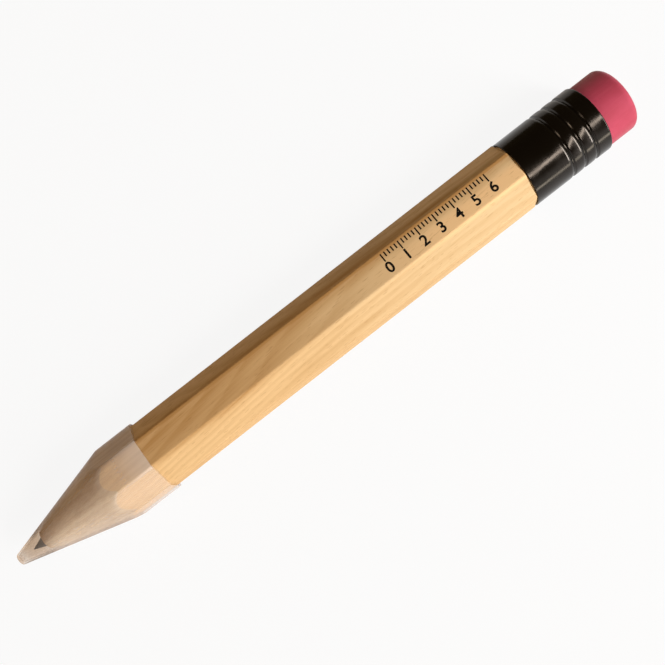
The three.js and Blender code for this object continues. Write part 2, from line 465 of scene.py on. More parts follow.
def barrel_colour(tree, point, late, fibre, streak, fleck):
    """Pale wood with its rings, fibre and flecks, with painted light and shade: a dark band and line along
    the far edge of the top flat, the top flat darker towards the point and paler towards the ferrule, a
    painted sheen on the far half of the flat behind it, and paler rear parts of that flat and of the top
    flat's near side.
    """
    along, across, height = tree.parts(point)
    on_top = tree.ease(height, *TOP_FLAT_HEIGHT)
    off_corner = tree.vector("DISTANCE", tree.scaled(point, ACROSS_ONLY), BACK_CORNER)["Value"]
    back_side = tree.ease(across, *BACK_SIDE_ACROSS)
    # Painted sheen: the far half of the flat behind the top flat is made paler.
    far_flat_sheen = tree.times(tree.ease(off_corner, *FAR_SHEEN_OFF_CORNER), back_side)
    # Painted light: that flat is paler and lighter in colour towards the rear, away from the long edge.
    far_flat_painted_light = tree.times(tree.ease(off_corner, *FAR_LIGHT_OFF_CORNER), back_side,
                           tree.ease(along, *FAR_LIGHT_ALONG))
    # Painted light and shade: the top flat is paler towards the ferrule and darker towards the point, easing
    # out towards the cap.
    top_light_and_shade = tree.times(tree.ease(along, *TOP_LIGHT_AND_SHADE_ALONG), tree.ease(along, *TOP_LIGHT_AND_SHADE_FRONT_ALONG), on_top)
    # Painted shade: a dark band along the long edge behind the top flat, growing towards the rear and easing
    # off near the ferrule.
    corner_shade = tree.times(tree.ease(off_corner, *CORNER_SHADE_OFF_CORNER), tree.ease(along, *CORNER_SHADE_GROWTH_ALONG),
                      tree.ease(along, *CORNER_SHADE_FADE_ALONG))
    # Painted shade: a narrow dark line on the top flat beside that long edge, darkening the light on its
    # rounding, stronger towards the rear.
    line = tree.times(tree.ease(across, *EDGE_SHADE_START_ACROSS), tree.ease(across, *EDGE_SHADE_END_ACROSS), on_top,
                      tree.ease(along, *EDGE_SHADE_GROWTH_ALONG))
    dark = tree.plus(tree.times(late, LATE_DARK), tree.ease(fibre, *BARREL_FIBRE_DARK),
                     tree.ease(streak, *STREAK_LIMITS, 0.0, BARREL_STREAK_DARK), top_light_and_shade, corner_shade)
    dark = tree.minus(dark, tree.times(far_flat_sheen, FAR_SHEEN_PALER))
    dark = tree.minus(dark, tree.times(far_flat_painted_light, FAR_LIGHT_PALER))
    dark = tree.plus(dark, line)
    pale = tree.blend(tree.ease(along, *REAR_TONE_ALONG), WOOD_PALE, WOOD_REAR)
    pale = tree.blend(far_flat_painted_light, pale, WOOD_FAR_PAINTED_LIGHT)
    # Painted light: the top flat's near side is paler towards the rear.
    top_near_painted_light = tree.times(tree.ease(across, *LIT_TOP_ACROSS), tree.ease(along, *LIT_TOP_ALONG), on_top)
    pale = tree.blend(top_near_painted_light, pale, WOOD_PAINTED_LIT_TOP)
    colour = tree.blend(dark, pale, WOOD_DEEP)
    return tree.blend(tree.times(fleck, BARREL_FLECK_DARK), colour, WOOD_FLECK)


def varnished_wood():
    made, tree = new_material("varnished_wood_grain")
    point = tree.point()
    late, fibre, streak = wood_pattern(tree, point)
    fleck = tree.ease(tree.noise(slanted(tree, point, FIBRE_SLOPE), FLECK_SCALE, detail=1.0), *FLECK_RAMP)
    height = tree.minus(fibre, tree.times(fleck, BARREL_FLECK_DEPTH))
    surface = tree.add("BsdfPrincipled", {
        "Base Color": barrel_colour(tree, point, late, fibre, streak, fleck),
        "Roughness": tree.ease(fibre, *FIBRE_LIMITS, *BARREL_ROUGHNESS),
        "Normal": tree.bump(height, *BARREL_BUMP),
        "Specular IOR Level": 0.0,
        "Coat Weight": 0.12,
        "Coat Roughness": 0.36,
        "Coat Normal": tree.bump(varnish_crown(tree, point), *VARNISH_BUMP),
    })
    tree.finish(surface)
    return made


# Bare wood of the turned point
RAW_PALE = (0.74, 0.55, 0.345, 1)
RAW_DEEP = (0.46, 0.285, 0.145, 1)
SMUDGE = (0.10, 0.07, 0.05, 1)
POINT_FIBRE_DARK = (0.36, 0.72, 0.0, 0.3)
POINT_STREAK_DARK = 0.2
POINT_ROUGHNESS = (0.58, 0.74)
POINT_BUMP = (0.3, 0.06)
POINT_FIBRE_DEPTH = 0.8
# Shavings run round the axis, so their scale is for the sine and cosine of a turn
SHAVED_ALONG_SCALE = 0.03
SHAVED_SCALE = (1.0, 9.0, 9.0)
SHAVED_DARK = (0.42, 0.68, 0.0, 0.18)
PATCH_SCALE = (0.05, 0.12, 0.12)
PATCH_RAMP = (0.44, 0.62)
PATCH_DARK = 0.35
UPPER_SIDE_TURN = 0.45
UPPER_SIDE_RAMP = (0.55, 0.98)
UPPER_SIDE_PAINTED_SHADE = 0.3
FRONT_ALONG = (POINT_FRONT + 15, POINT_FRONT + 3)
FRONT_DARK = 0.3
SMUDGE_ALONG = (POINT_FRONT + 17, POINT_FRONT)
SMUDGE_SCALE = (0.16, 1.3, 1.3)
SMUDGE_RAMP = (0.5, 0.72)
SMUDGE_DARK = 0.25
LATHE_MARK_SCALE = (2.6, 0.12, 0.12)


def sharpened_wood():
    made, tree = new_material("sharpened_wood_grain")
    point = tree.point()
    along = tree.parts(point)[0]
    late, fibre, streak = wood_pattern(tree, point)
    turn = turn_about_axis(tree, point)
    round_it = tree.joined(tree.times(along, SHAVED_ALONG_SCALE), tree.math("SINE", turn),
                           tree.math("COSINE", turn))
    shaved = tree.noise(round_it, SHAVED_SCALE, detail=4.0, roughness=0.6)
    dark = tree.plus(tree.times(late, LATE_DARK), tree.ease(fibre, *POINT_FIBRE_DARK),
                     tree.ease(streak, *STREAK_LIMITS, 0.0, POINT_STREAK_DARK),
                     tree.ease(shaved, *SHAVED_DARK))
    # Painted shade: the point's upper side is darkened by a steady amount, by noise patches and more towards
    # the front.
    patch = tree.ease(tree.noise(point, PATCH_SCALE), *PATCH_RAMP)
    upper_side = tree.ease(tree.math("COSINE", tree.minus(turn, UPPER_SIDE_TURN)), *UPPER_SIDE_RAMP)
    shaded = tree.plus(tree.times(patch, PATCH_DARK), UPPER_SIDE_PAINTED_SHADE)
    shaded = tree.plus(shaded, tree.times(tree.ease(along, *FRONT_ALONG), FRONT_DARK))
    dark = tree.plus(dark, tree.times(shaded, upper_side))
    colour = tree.blend(dark, RAW_PALE, RAW_DEEP)
    smudge = tree.ease(tree.noise(point, SMUDGE_SCALE), *SMUDGE_RAMP)
    smudge = tree.times(tree.ease(along, *SMUDGE_ALONG), smudge, SMUDGE_DARK)
    lathe_marks = tree.noise(point, LATHE_MARK_SCALE)
    height = tree.plus(lathe_marks, tree.times(fibre, POINT_FIBRE_DEPTH))
    surface = tree.add("BsdfPrincipled", {
        "Base Color": tree.blend(smudge, colour, SMUDGE),
        "Roughness": tree.ease(fibre, *FIBRE_LIMITS, *POINT_ROUGHNESS),
        "Normal": tree.bump(height, *POINT_BUMP),
        "Specular IOR Level": 0.2,
    })
    tree.finish(surface)
    return made


GRAPHITE_DEEP = (0.022, 0.021, 0.022, 1)
GRAPHITE_PALE = (0.045, 0.042, 0.040, 1)
GRAPHITE_TURNING_SCALE = (3.4, 0.3, 0.3)
GRAPHITE_GRAIN_SCALE = (2.5, 2.5, 2.5)
GRAPHITE_GRAIN = (0.35, 0.7)
GRAPHITE_ROUGHNESS = (0.3, 0.7, 0.42, 0.6)
GRAPHITE_BUMP = (0.3, 0.04)


def graphite():
    made, tree = new_material("sharpened_graphite")
    point = tree.point()
    turning = tree.noise(point, GRAPHITE_TURNING_SCALE)
    grain = tree.noise(point, GRAPHITE_GRAIN_SCALE, detail=4.0)
    surface = tree.add("BsdfPrincipled", {
        "Base Color": tree.blend(tree.ease(grain, *GRAPHITE_GRAIN), GRAPHITE_DEEP, GRAPHITE_PALE),
        "Roughness": tree.ease(turning, *GRAPHITE_ROUGHNESS),
        "Normal": tree.bump(turning, *GRAPHITE_BUMP),
        "Specular IOR Level": 0.25,
    })
    tree.finish(surface)
    return made


BLACK = (0.0025, 0.0018, 0.0012, 1)
BLACK_DUSTY = (0.010, 0.008, 0.007, 1)
BLACK_GLOSS_TINT = (1.0, 0.86, 0.74, 1)
BLACK_CLOUD_SCALE = (0.12, 0.12, 0.12)
BLACK_DUST_SCALE = (2.2, 2.2, 2.2)
BLACK_DUST = (0.68, 0.8)
BLACK_RIPPLE_SCALE = (0.3, 0.16, 0.16)
BLACK_ROUGHNESS = (0.3, 0.7, 0.12, 0.2)
BLACK_BUMP = (0.12, 0.25)


def black_plastic():
    made, tree = new_material("glossy_black_plastic")
    point = tree.point()
    cloud = tree.noise(point, BLACK_CLOUD_SCALE, detail=4.0)
    dust = tree.ease(tree.noise(point, BLACK_DUST_SCALE, detail=2.0), *BLACK_DUST)
    ripple = tree.noise(point, BLACK_RIPPLE_SCALE, detail=2.0)
    surface = tree.add("BsdfPrincipled", {
        "Base Color": tree.blend(dust, BLACK, BLACK_DUSTY),
        "Roughness": tree.ease(cloud, *BLACK_ROUGHNESS),
        "Normal": tree.bump(ripple, *BLACK_BUMP),
        "IOR": 1.4,
        "Specular Tint": BLACK_GLOSS_TINT,
    })
    tree.finish(surface)
    return made


PINK = (0.46, 0.052, 0.096, 1)
PINK_CLOUDED = (0.42, 0.045, 0.080, 1)
PINK_DRAWN = (0.50, 0.070, 0.115, 1)
PINK_WORN = (0.32, 0.035, 0.055, 1)
PINK_CLOUD_SCALE = (0.09, 0.16, 0.16)
PINK_CLOUD = (0.3, 0.7)
PINK_GRAIN_SCALE = (4.5, 4.5, 4.5)
PINK_DRAWN_SCALE = (0.05, 1.1, 1.1)
PINK_DRAWN_SHARE = (0.5, 0.75, 0.0, 0.35)
PINK_DRAWN_DEPTH = 0.6
PINK_END_ALONG = (ERASER_END - 4.5, ERASER_END - 0.5)
PINK_WEAR_SCALE = (0.5, 0.5, 0.5)
PINK_WEAR = (0.48, 0.7)
PINK_WEAR_SHARE = 0.4
PINK_ROUGHNESS = (0.3, 0.7, 0.62, 0.78)
PINK_BUMP = (0.3, 0.08)


def pink_rubber():
    made, tree = new_material("pink_eraser_rubber")
    point = tree.point()
    cloud = tree.noise(point, PINK_CLOUD_SCALE, detail=4.0)
    grain = tree.noise(point, PINK_GRAIN_SCALE)
    drawn = tree.noise(point, PINK_DRAWN_SCALE)
    colour = tree.blend(tree.ease(cloud, *PINK_CLOUD), PINK, PINK_CLOUDED)
    colour = tree.blend(tree.ease(drawn, *PINK_DRAWN_SHARE), colour, PINK_DRAWN)
    wear = tree.ease(tree.noise(point, PINK_WEAR_SCALE, detail=4.0), *PINK_WEAR)
    worn = tree.times(tree.ease(tree.parts(point)[0], *PINK_END_ALONG), wear, PINK_WEAR_SHARE)
    height = tree.plus(grain, tree.times(drawn, PINK_DRAWN_DEPTH))
    surface = tree.add("BsdfPrincipled", {
        "Base Color": tree.blend(worn, colour, PINK_WORN),
        "Roughness": tree.ease(grain, *PINK_ROUGHNESS),
        "Normal": tree.bump(height, *PINK_BUMP),
        "Specular IOR Level": 0.2,
        "Sheen Weight": 0.3,
        "Sheen Roughness": 0.4,
    })
    tree.finish(surface)
    return made


CAP_TINT = (0.955, 0.963, 0.975, 1)
# The nose tint is partly the plastic's own colour and partly painted shadow of the floor seen through the
# nose.
CAP_NOSE_TINT_AND_SHADOW = (0.858, 0.794, 0.729, 1)
CAP_MILK = (0.91, 0.81, 0.74, 1)
# Painted refraction: a brown tone that stands in for the wood seen through a wall edge on.
CAP_PAINTED_REFRACTION_TONE = (0.72, 0.60, 0.49, 1)
CAP_NOSE_ALONG = (CAP_FRONT + 19.5, CAP_FRONT + 14)
CAP_NOSE_END_ALONG = (CAP_FRONT + 0.5, CAP_FRONT + 7, 0.55, 1.0)
CAP_DRAWN_SCALE = (0.025, 0.8, 0.8)
CAP_DRAWN_LIMITS = (0.35, 0.7)
CAP_DRAWN_CLEARNESS = (0.83, 0.78)
CAP_CLOUD_SCALE = (0.07, 0.1, 0.1)
CAP_CLOUD_HAZE = (0.3, 0.7, 0.0, 0.02)
CAP_RIM_HAZE_ALONG = (CAP_REAR - 20, CAP_REAR - 1, 0.0, 0.28)
CAP_TOP_FLAT_HEIGHT = (AXIS + CAP_FLAT - 1.3, AXIS + CAP_FLAT - 0.3)
CAP_HAZE_ALONG = (CAP_FRONT + 14, CAP_FRONT + 19.5, 0.6, 1.0)
CAP_OFF_RIM_ALONG = (CAP_REAR - 0.15, CAP_REAR - 0.6)
CAP_LEAST_FACING = 0.48
CAP_EDGE_LIMITS = (0.35, 0.65)
CAP_OUTER_EDGE = 0.9
CAP_INNER_EDGE = 0.85
CAP_INNER_DRAWN_EDGE = 0.05
CAP_INNER_EDGE_ALONG = (CAP_FRONT + 12, CAP_FRONT + 18, 0.4, 1.0)
CAP_BUMP = (0.08, 0.1)
CAP_GLOSS = 0.03
CAP_EDGE_GLOSS = 0.08
CAP_EDGE_GLOSS_POWER = 5.0
CAP_SHADOW_CLEARNESS = 0.85


def cap_sides(tree):
    """How far a wall is seen edge on, and whether it is seen from behind."""
    edge_on = tree.add("LayerWeight", {"Blend": 0.5}).outputs["Facing"]
    return edge_on, tree.add("NewGeometry").outputs["Backfacing"]


def cap_drawn(tree, point):
    """Faint streaks along the plastic."""
    return tree.noise(point, CAP_DRAWN_SCALE, detail=4.0, roughness=0.6)


def cap_tint(tree, along):
    """Clear plastic that is browner and darker in the thick nose: partly the plastic's own tint, partly
    painted shadow of the floor seen through it.
    """
    nose = tree.times(tree.ease(along, *CAP_NOSE_ALONG), tree.ease(along, *CAP_NOSE_END_ALONG))
    return tree.add("BsdfTransparent", {"Color": tree.blend(nose, CAP_TINT, CAP_NOSE_TINT_AND_SHADOW)})


def finish_cap(tree, surface):
    """Let most light through to what lies in the cap's shadow."""
    shadow = tree.add("LightPath").outputs["Is Shadow Ray"]
    open_way = tree.add("BsdfTransparent", {"Color": WHITE})
    tree.finish(tree.mix(tree.times(shadow, CAP_SHADOW_CLEARNESS), surface, open_way))


def clear_plastic():
    """The outer side of thin plastic with a faint milkiness, which grows where it is seen edge on."""
    made, tree = new_material("hazy_clear_plastic")
    point = tree.point()
    along, _, height = tree.parts(point)
    edge_on, far_side = cap_sides(tree)
    near_side = tree.minus(1.0, far_side)
    drawn = cap_drawn(tree, point)
    cloud = tree.noise(point, CAP_CLOUD_SCALE)
    clearness = tree.minus(tree.ease(drawn, *CAP_DRAWN_LIMITS, *CAP_DRAWN_CLEARNESS),
                           tree.ease(cloud, *CAP_CLOUD_HAZE))
    rim_haze = tree.times(tree.ease(along, *CAP_RIM_HAZE_ALONG), tree.ease(height, *CAP_TOP_FLAT_HEIGHT))
    clearness = tree.minus(clearness, rim_haze)
    path = tree.math("DIVIDE", 1.0, tree.larger(tree.minus(1.0, edge_on), CAP_LEAST_FACING))
    haze = tree.minus(1.0, tree.math("POWER", clearness, path))
    haze = tree.times(haze, tree.ease(along, *CAP_HAZE_ALONG))
    shown = tree.times(near_side, tree.ease(along, *CAP_OFF_RIM_ALONG))
    milk = tree.add("BsdfDiffuse", {"Color": CAP_MILK})
    body = tree.mix(tree.times(haze, shown), cap_tint(tree, along), milk)
    # Painted refraction: where the far wall is seen edge on, the brown tone stands in for the wood seen
    # through it.
    closed = tree.times(tree.ease(edge_on, *CAP_EDGE_LIMITS, 0.0, CAP_OUTER_EDGE), far_side)
    body = tree.mix(closed, body, tree.add("BsdfDiffuse", {"Color": CAP_PAINTED_REFRACTION_TONE}))
    gloss = tree.add("BsdfGlossy", {"Color": WHITE, "Roughness": 0.25, "Normal": tree.bump(drawn, *CAP_BUMP)})
    edge_gloss = tree.times(tree.math("POWER", edge_on, CAP_EDGE_GLOSS_POWER), CAP_EDGE_GLOSS)
    mirror = tree.plus(edge_gloss, CAP_GLOSS)
    finish_cap(tree, tree.mix(tree.times(mirror, near_side), body, gloss))
    return made


def cap_inside():
    """The inner side of the same plastic, which closes up into a brown tone where the far wall is seen edge
    on. The tone is painted refraction of the wood inside.
    """
    made, tree = new_material("clear_plastic_inside")
    point = tree.point()
    along = tree.parts(point)[0]
    edge_on, near_side = cap_sides(tree)
    # Painted refraction: the far wall seen edge on takes the brown tone that stands in for the wood seen
    # through it.
    closed = tree.plus(tree.ease(edge_on, *CAP_EDGE_LIMITS, 0.0, CAP_INNER_EDGE),
                       tree.ease(cap_drawn(tree, point), *CAP_DRAWN_LIMITS, 0.0, CAP_INNER_DRAWN_EDGE))
    closed = tree.times(closed, tree.ease(along, *CAP_INNER_EDGE_ALONG), tree.minus(1.0, near_side))
    edge = tree.add("BsdfDiffuse", {"Color": CAP_PAINTED_REFRACTION_TONE})
    finish_cap(tree, tree.mix(closed, cap_tint(tree, along), edge))
    return made


INK = (0.008, 0.007, 0.006, 1)
INK_THIN = (0.05, 0.035, 0.024, 1)
INK_SCALE = (0.6, 2.4, 2.4)
INK_THIN_RAMP = (0.55, 0.8)
INK_ROUGHNESS = (0.3, 0.7, 0.5, 0.65)
INK_BUMP = (0.1, 0.03)


def printing_ink():
    made, tree = new_material("black_printing_ink")
    thin = tree.noise(tree.point(), INK_SCALE, detail=4.0)
    surface = tree.add("BsdfPrincipled", {
        "Base Color": tree.blend(tree.ease(thin, *INK_THIN_RAMP), INK, INK_THIN),
        "Roughness": tree.ease(thin, *INK_ROUGHNESS),
        "Normal": tree.bump(thin, *INK_BUMP),
        "Specular IOR Level": 0.06,
    })
    tree.finish(surface)
    return made


# Pieces


def slat_directions(first_side):
    """Half of the barrel's outline from the middle of a flat, with a small chamfer at each seam."""
    outline = rounded_outline(BARREL_FLAT, BARREL_EDGE_RADIUS)
    count = len(outline)
    first = first_side * count // SIDES
    directions = []
    for step in range(count // 2 + 1):
        rounds, index = divmod(first + step, count)
        angle, radius = outline[index]
        directions.append((angle + rounds * 2 * math.pi, radius))
    chamfer_turn = SEAM_CHAMFER / BARREL_FLAT
    start, end = directions[0][0], directions[-1][0]
    directions.insert(1, (start + chamfer_turn, BARREL_FLAT))
    directions.insert(-1, (end - chamfer_turn, BARREL_FLAT))
    directions[0] = (start, BARREL_FLAT - SEAM_CHAMFER)
    directions[-1] = (end, BARREL_FLAT - SEAM_CHAMFER)
    return directions


def point_profile():
    """The blunt front of the casing, from the lead's groove over a rounded edge to the end of the chamfer."""
    chamfer_normal = OUTWARD + math.degrees(math.atan(CHAMFER_SLOPE))
    edge_x = POINT_FRONT + POINT_FRONT_EDGE
    edge_radius = POINT_FRONT_RADIUS + POINT_FRONT_EDGE * (CHAMFER_SLOPE - math.hypot(1, CHAMFER_SLOPE))
    points = [(POINT_FRONT, LEAD_RADIUS + LEAD_CLEARANCE)]
    points += arc(edge_x, edge_radius, POINT_FRONT_EDGE, FORWARD, chamfer_normal, POINT_FRONT_STEPS)
    start = points[-1][1]
    for step in range(1, POINT_CHAMFER_STEPS + 1):
        size = start + (CHAMFER_RADIUS - start) * step / POINT_CHAMFER_STEPS
        points.append((POINT_FRONT + (size - POINT_FRONT_RADIUS) / CHAMFER_SLOPE, size))
    return points


def barrel_rows(corner, radius, angle):
    """One line along the barrel from the cone's end over its rear bevel, with the slight swell of wood."""
    rear = SHOULDER - BARREL_END_BEVEL
    rows = []
    for step in range(1, BARREL_STEPS + 1):
        x = corner + (rear - corner) * step / BARREL_STEPS
        swell = BARREL_WAVE * noise.noise(place(x, radius, angle) / (BARREL_WAVE_LENGTH * MM))
        rows.append((x, radius + swell))
    rows.append((SHOULDER, radius - BARREL_END_BEVEL))
    return rows


def slat(name, first_side, materials):
    """Half of the wooden casing: blunt point, eight-sided barrel and the tenon in the ferrule."""
    directions = slat_directions(first_side)
    front_rows = point_profile()
    groove_radius = LEAD_RADIUS + LEAD_CLEARANCE
    tenon_rows = [(SHOULDER, TENON_RADIUS), (TENON_END, TENON_RADIUS), (TENON_END, groove_radius)]
    columns = []
    for angle, radius in directions:
        rows = list(front_rows)
        for step in range(1, POINT_STEPS + 1):
            size = CHAMFER_RADIUS + (radius - CHAMFER_RADIUS) * step / POINT_STEPS
            rows.append((CHAMFER_X + (size - CHAMFER_RADIUS) / POINT_SLOPE, size))
        rows += barrel_rows(rows[-1][0], radius, angle) + tenon_rows
        columns.append([place(x, size, angle) for x, size in rows])
    middle = (directions[0][0] + directions[-1][0]) / 2
    lift = SEAM_HALF_GAP * MM * math.copysign(1, math.cos(middle))
    for column in (columns[0], columns[-1]):
        for point in column:
            point.z += lift

    shape = bmesh.new()
    grid = [[shape.verts.new(point) for point in column] for column in columns]
    turned_rows = len(front_rows) + POINT_STEPS - 1
    strips = [1] * turned_rows + [0] * (len(columns[0]) - turned_rows)
    join_strips(shape, grid, False, strips)
    shape.faces.new(grid[0])
    shape.faces.new(reversed(grid[-1]))
    return finish_shape(name, shape, materials)


def lead_profile():
    points = [(LEAD_TIP, 0.0)]
    points += arc(LEAD_TIP + LEAD_TIP_RADIUS, 0.0, LEAD_TIP_RADIUS, *LEAD_TIP_ARC, LEAD_TIP_STEPS)
    start_x, start = points[-1]
    for step in range(1, LEAD_CONE_STEPS + 1):
        size = start + (LEAD_RADIUS - start) * step / LEAD_CONE_STEPS
        points.append((start_x + (size - start) / LEAD_SLOPE, size))
    points += [(POINT_FRONT, LEAD_RADIUS), (LEAD_END, LEAD_RADIUS), (LEAD_END, 0.0)]
    return points


def groove_points(middle, front_drop, rear_drop):
    """One ring groove: a long rounded lip in front, a narrow floor and a steep rear wall.

    Each side starts a drop below the ferrule's full radius, where it meets a crowned ridge.
    """
    start = RIDGE_END_LEAN if front_drop else 0.0
    end = math.acos(math.cos(start) - (GROOVE_DEPTH - front_drop) / GROOVE_LIP_RADIUS)
    points = []
    for step in range(GROOVE_LIP_STEPS + 1):
        turn = start + (end - start) * step / GROOVE_LIP_STEPS
        x = middle - GROOVE_LIP_RADIUS * (math.sin(end) - math.sin(turn))
        drop = front_drop + GROOVE_LIP_RADIUS * (math.cos(start) - math.cos(turn))
        points.append((x, FERRULE_RADIUS - drop))
    points.append((middle + GROOVE_FLOOR, FERRULE_RADIUS - GROOVE_DEPTH))
    rear_x = middle + GROOVE_FLOOR + GROOVE_REAR_WALL + GROOVE_REAR_LIP
    lip_radius = FERRULE_RADIUS - rear_drop - GROOVE_REAR_LIP
    points += arc(rear_x, lip_radius, GROOVE_REAR_LIP, *GROOVE_REAR_ARC, GROOVE_REAR_STEPS)
    return points


def ridge_points(start, end):
    """The low crown between two ring grooves, without its ends."""
    points = []
    for step in range(1, RIDGE_STEPS):
        share = step / RIDGE_STEPS
        drop = RIDGE_CROWN * (2 * share - 1) ** 2
        points.append((start + (end - start) * share, FERRULE_RADIUS - drop))
    return points


def ferrule_profile():
    front = SHOULDER + FERRULE_GAP
    points = [(front, FERRULE_BORE)]
    points += arc(front + FERRULE_FRONT_EDGE, FERRULE_RADIUS - FERRULE_FRONT_EDGE, FERRULE_FRONT_EDGE,
                  FORWARD, OUTWARD, FERRULE_FRONT_STEPS)
    for ring in range(GROOVE_COUNT):
        middle = FERRULE_END - GROOVE_REAR_MARGIN - (GROOVE_COUNT - 1 - ring) * GROOVE_PITCH
        first, last = ring == 0, ring == GROOVE_COUNT - 1
        groove = groove_points(middle, 0 if first else RIDGE_CROWN, 0 if last else RIDGE_CROWN)
        if not first:
            points += ridge_points(points[-1][0], groove[0][0])
        points += groove
    points += arc(FERRULE_END - FERRULE_REAR_EDGE, FERRULE_RADIUS - FERRULE_REAR_EDGE, FERRULE_REAR_EDGE,
                  OUTWARD, REARWARD, FERRULE_REAR_STEPS)
    points.append((FERRULE_END, FERRULE_BORE))
    return points


def eraser_profile():
    edge_x = ERASER_END - ERASER_EDGE
    end_radius = ERASER_RADIUS - ERASER_EDGE
    points = [(ERASER_FRONT, 0.0), (ERASER_FRONT, ERASER_RADIUS)]
    for step in range(ERASER_SIDE_STEPS):
        x = FERRULE_END + (edge_x - FERRULE_END) * step / ERASER_SIDE_STEPS
        points.append((x, ERASER_RADIUS))
    points += arc(edge_x, end_radius, ERASER_EDGE, OUTWARD, REARWARD, ERASER_EDGE_STEPS)
    for share in ERASER_END_SHARES:
        points.append((ERASER_END, end_radius * share))
    return points


def cap_outer_rows(radius):
    """The cap's outer side, from the middle of its nose to its rear end."""
    edge_radius = CAP_NOSE_RADIUS + CAP_NOSE_EDGE * CAP_SLOPE
    rows = [(CAP_FRONT, 0)]
    rows += arc(CAP_FRONT + CAP_NOSE_EDGE, edge_radius - CAP_NOSE_EDGE, CAP_NOSE_EDGE,
                FORWARD, OUTWARD, CAP_NOSE_EDGE_STEPS)
    start = edge_radius + CAP_SLOPE * CAP_NOSE_RUN
    for step in range(CAP_STEPS + 1):
        size = start + (radius - start) * step / CAP_STEPS
        rows.append((CAP_FRONT + (size - CAP_NOSE_RADIUS) / CAP_SLOPE, size))
    rows += arc(CAP_REAR - CAP_RIM, radius - CAP_RIM, CAP_RIM, OUTWARD, REARWARD, CAP_RIM_STEPS)
    return rows


def cap_inner_points(radius, inner_angle, angle):
    """The cap's inner side from its rear end to the nose, as points that turn to the outer side's angle."""
    nose_x = CAP_FRONT + CAP_NOSE_WALL
    nose_radius = CAP_NOSE_RADIUS - CAP_WALL_ACROSS + CAP_NOSE_WALL * CAP_SLOPE
    sleeve_end = CAP_FRONT + (radius + CAP_WALL_ACROSS - CAP_NOSE_RADIUS) / CAP_SLOPE
    rim = arc(CAP_REAR - CAP_RIM, radius + CAP_RIM, CAP_RIM, REARWARD, INWARD, CAP_RIM_STEPS)
    points = [place(x, size, inner_angle) for x, size in rim]
    for step in range(CAP_STEPS + 1):
        share = step / CAP_STEPS
        size = radius + (nose_radius - radius) * share
        x = sleeve_end + (nose_x - sleeve_end) * share
        points.append(place(x, size, inner_angle + (angle - inner_angle) * share))
    points.append(place(nose_x, 0, angle))
    return points


def cap_shell(name, materials):
    """The thin cap: a rounded nose, a cone and an eight-sided sleeve, with an open rear end."""
    outer = rounded_outline(CAP_FLAT, CAP_EDGE_RADIUS)
    inner = rounded_outline(CAP_FLAT - CAP_WALL, CAP_EDGE_RADIUS - CAP_WALL)
    shape = bmesh.new()
    grid = []
    for (angle, outer_radius), (inner_angle, inner_radius) in zip(outer, inner):
        column = [place(x, size, angle) for x, size in cap_outer_rows(outer_radius)]
        column += cap_inner_points(inner_radius, inner_angle, angle)
        grid.append([shape.verts.new(point) for point in column])
    inner_rows = CAP_STEPS + 2
    outer_rows = len(grid[0]) - 1 - inner_rows
    join_strips(shape, grid, True, [0] * outer_rows + [1] * inner_rows)
    return finish_shape(name, shape, materials)


wood_materials = [varnished_wood(), sharpened_wood()]
upper = slat("upper_slat_wood", UPPER_FIRST_SIDE, wood_materials)
lower = slat("lower_slat_wood", LOWER_FIRST_SIDE, wood_materials)
dress(upper, "pencil", "varnished_wood", "upper_slat")
dress(lower, "pencil", "varnished_wood", "lower_slat")
lead = lathe("lead_core", lead_profile(), LEAD_STEPS, [graphite()])
dress(lead, "pencil", "graphite", "graphite_lead")
sleeve = lathe("grooved_ferrule", ferrule_profile(), ROUND_STEPS, [black_plastic()])
dress(sleeve, "pencil", "black_plastic", "ferrule")
rubber = lathe("rubber_eraser", eraser_profile(), ROUND_STEPS, [pink_rubber()])
dress(rubber, "pencil", "pink_rubber", "eraser")
cap = cap_shell("clear_point_cap", [clear_plastic(), cap_inside()])
dress(cap, "cap", "clear_plastic", "tip_cap")


# Printed scale on the top flat: plain ticks with a number at each centimetre

CENTIMETRE = 10
SCALE_START = 42.4
SCALE_CENTIMETRES = 6
TICKS_PER_CENTIMETRE = 5
TICK_PITCH = CENTIMETRE / TICKS_PER_CENTIMETRE
TICK_TOP = 5.6
TICK_LONG = 4.4
TICK_SHORT = 2.6
TICK_WIDTH = 0.7
INK_BOTTOM = -0.06
INK_TOP = 0.035
DIGIT_HEIGHT = 5.4
DIGIT_BASE = -4.6
DIGIT_BOLD = 0.16
FONT_CAP_SHARE = 0.72


def add_tick(shape, x, length):
    """A thin box of ink across the scale's upper edge."""
    left, right = x - TICK_WIDTH / 2, x + TICK_WIDTH / 2
    bottom = TICK_TOP - length
    outline = ((left, TICK_TOP), (right, TICK_TOP), (right, bottom), (left, bottom))
    count = len(outline)
    corners = []
    for height in (INK_BOTTOM, INK_TOP):
        for corner_x, corner_y in outline:
            corners.append(shape.verts.new(Vector((corner_x, corner_y, BARREL_TOP + height)) * MM))
    shape.faces.new(reversed(corners[:count]))
    shape.faces.new(corners[count:])
    for index in range(count):
        after = (index + 1) % count
        shape.faces.new((corners[index], corners[after], corners[after + count], corners[index + count]))


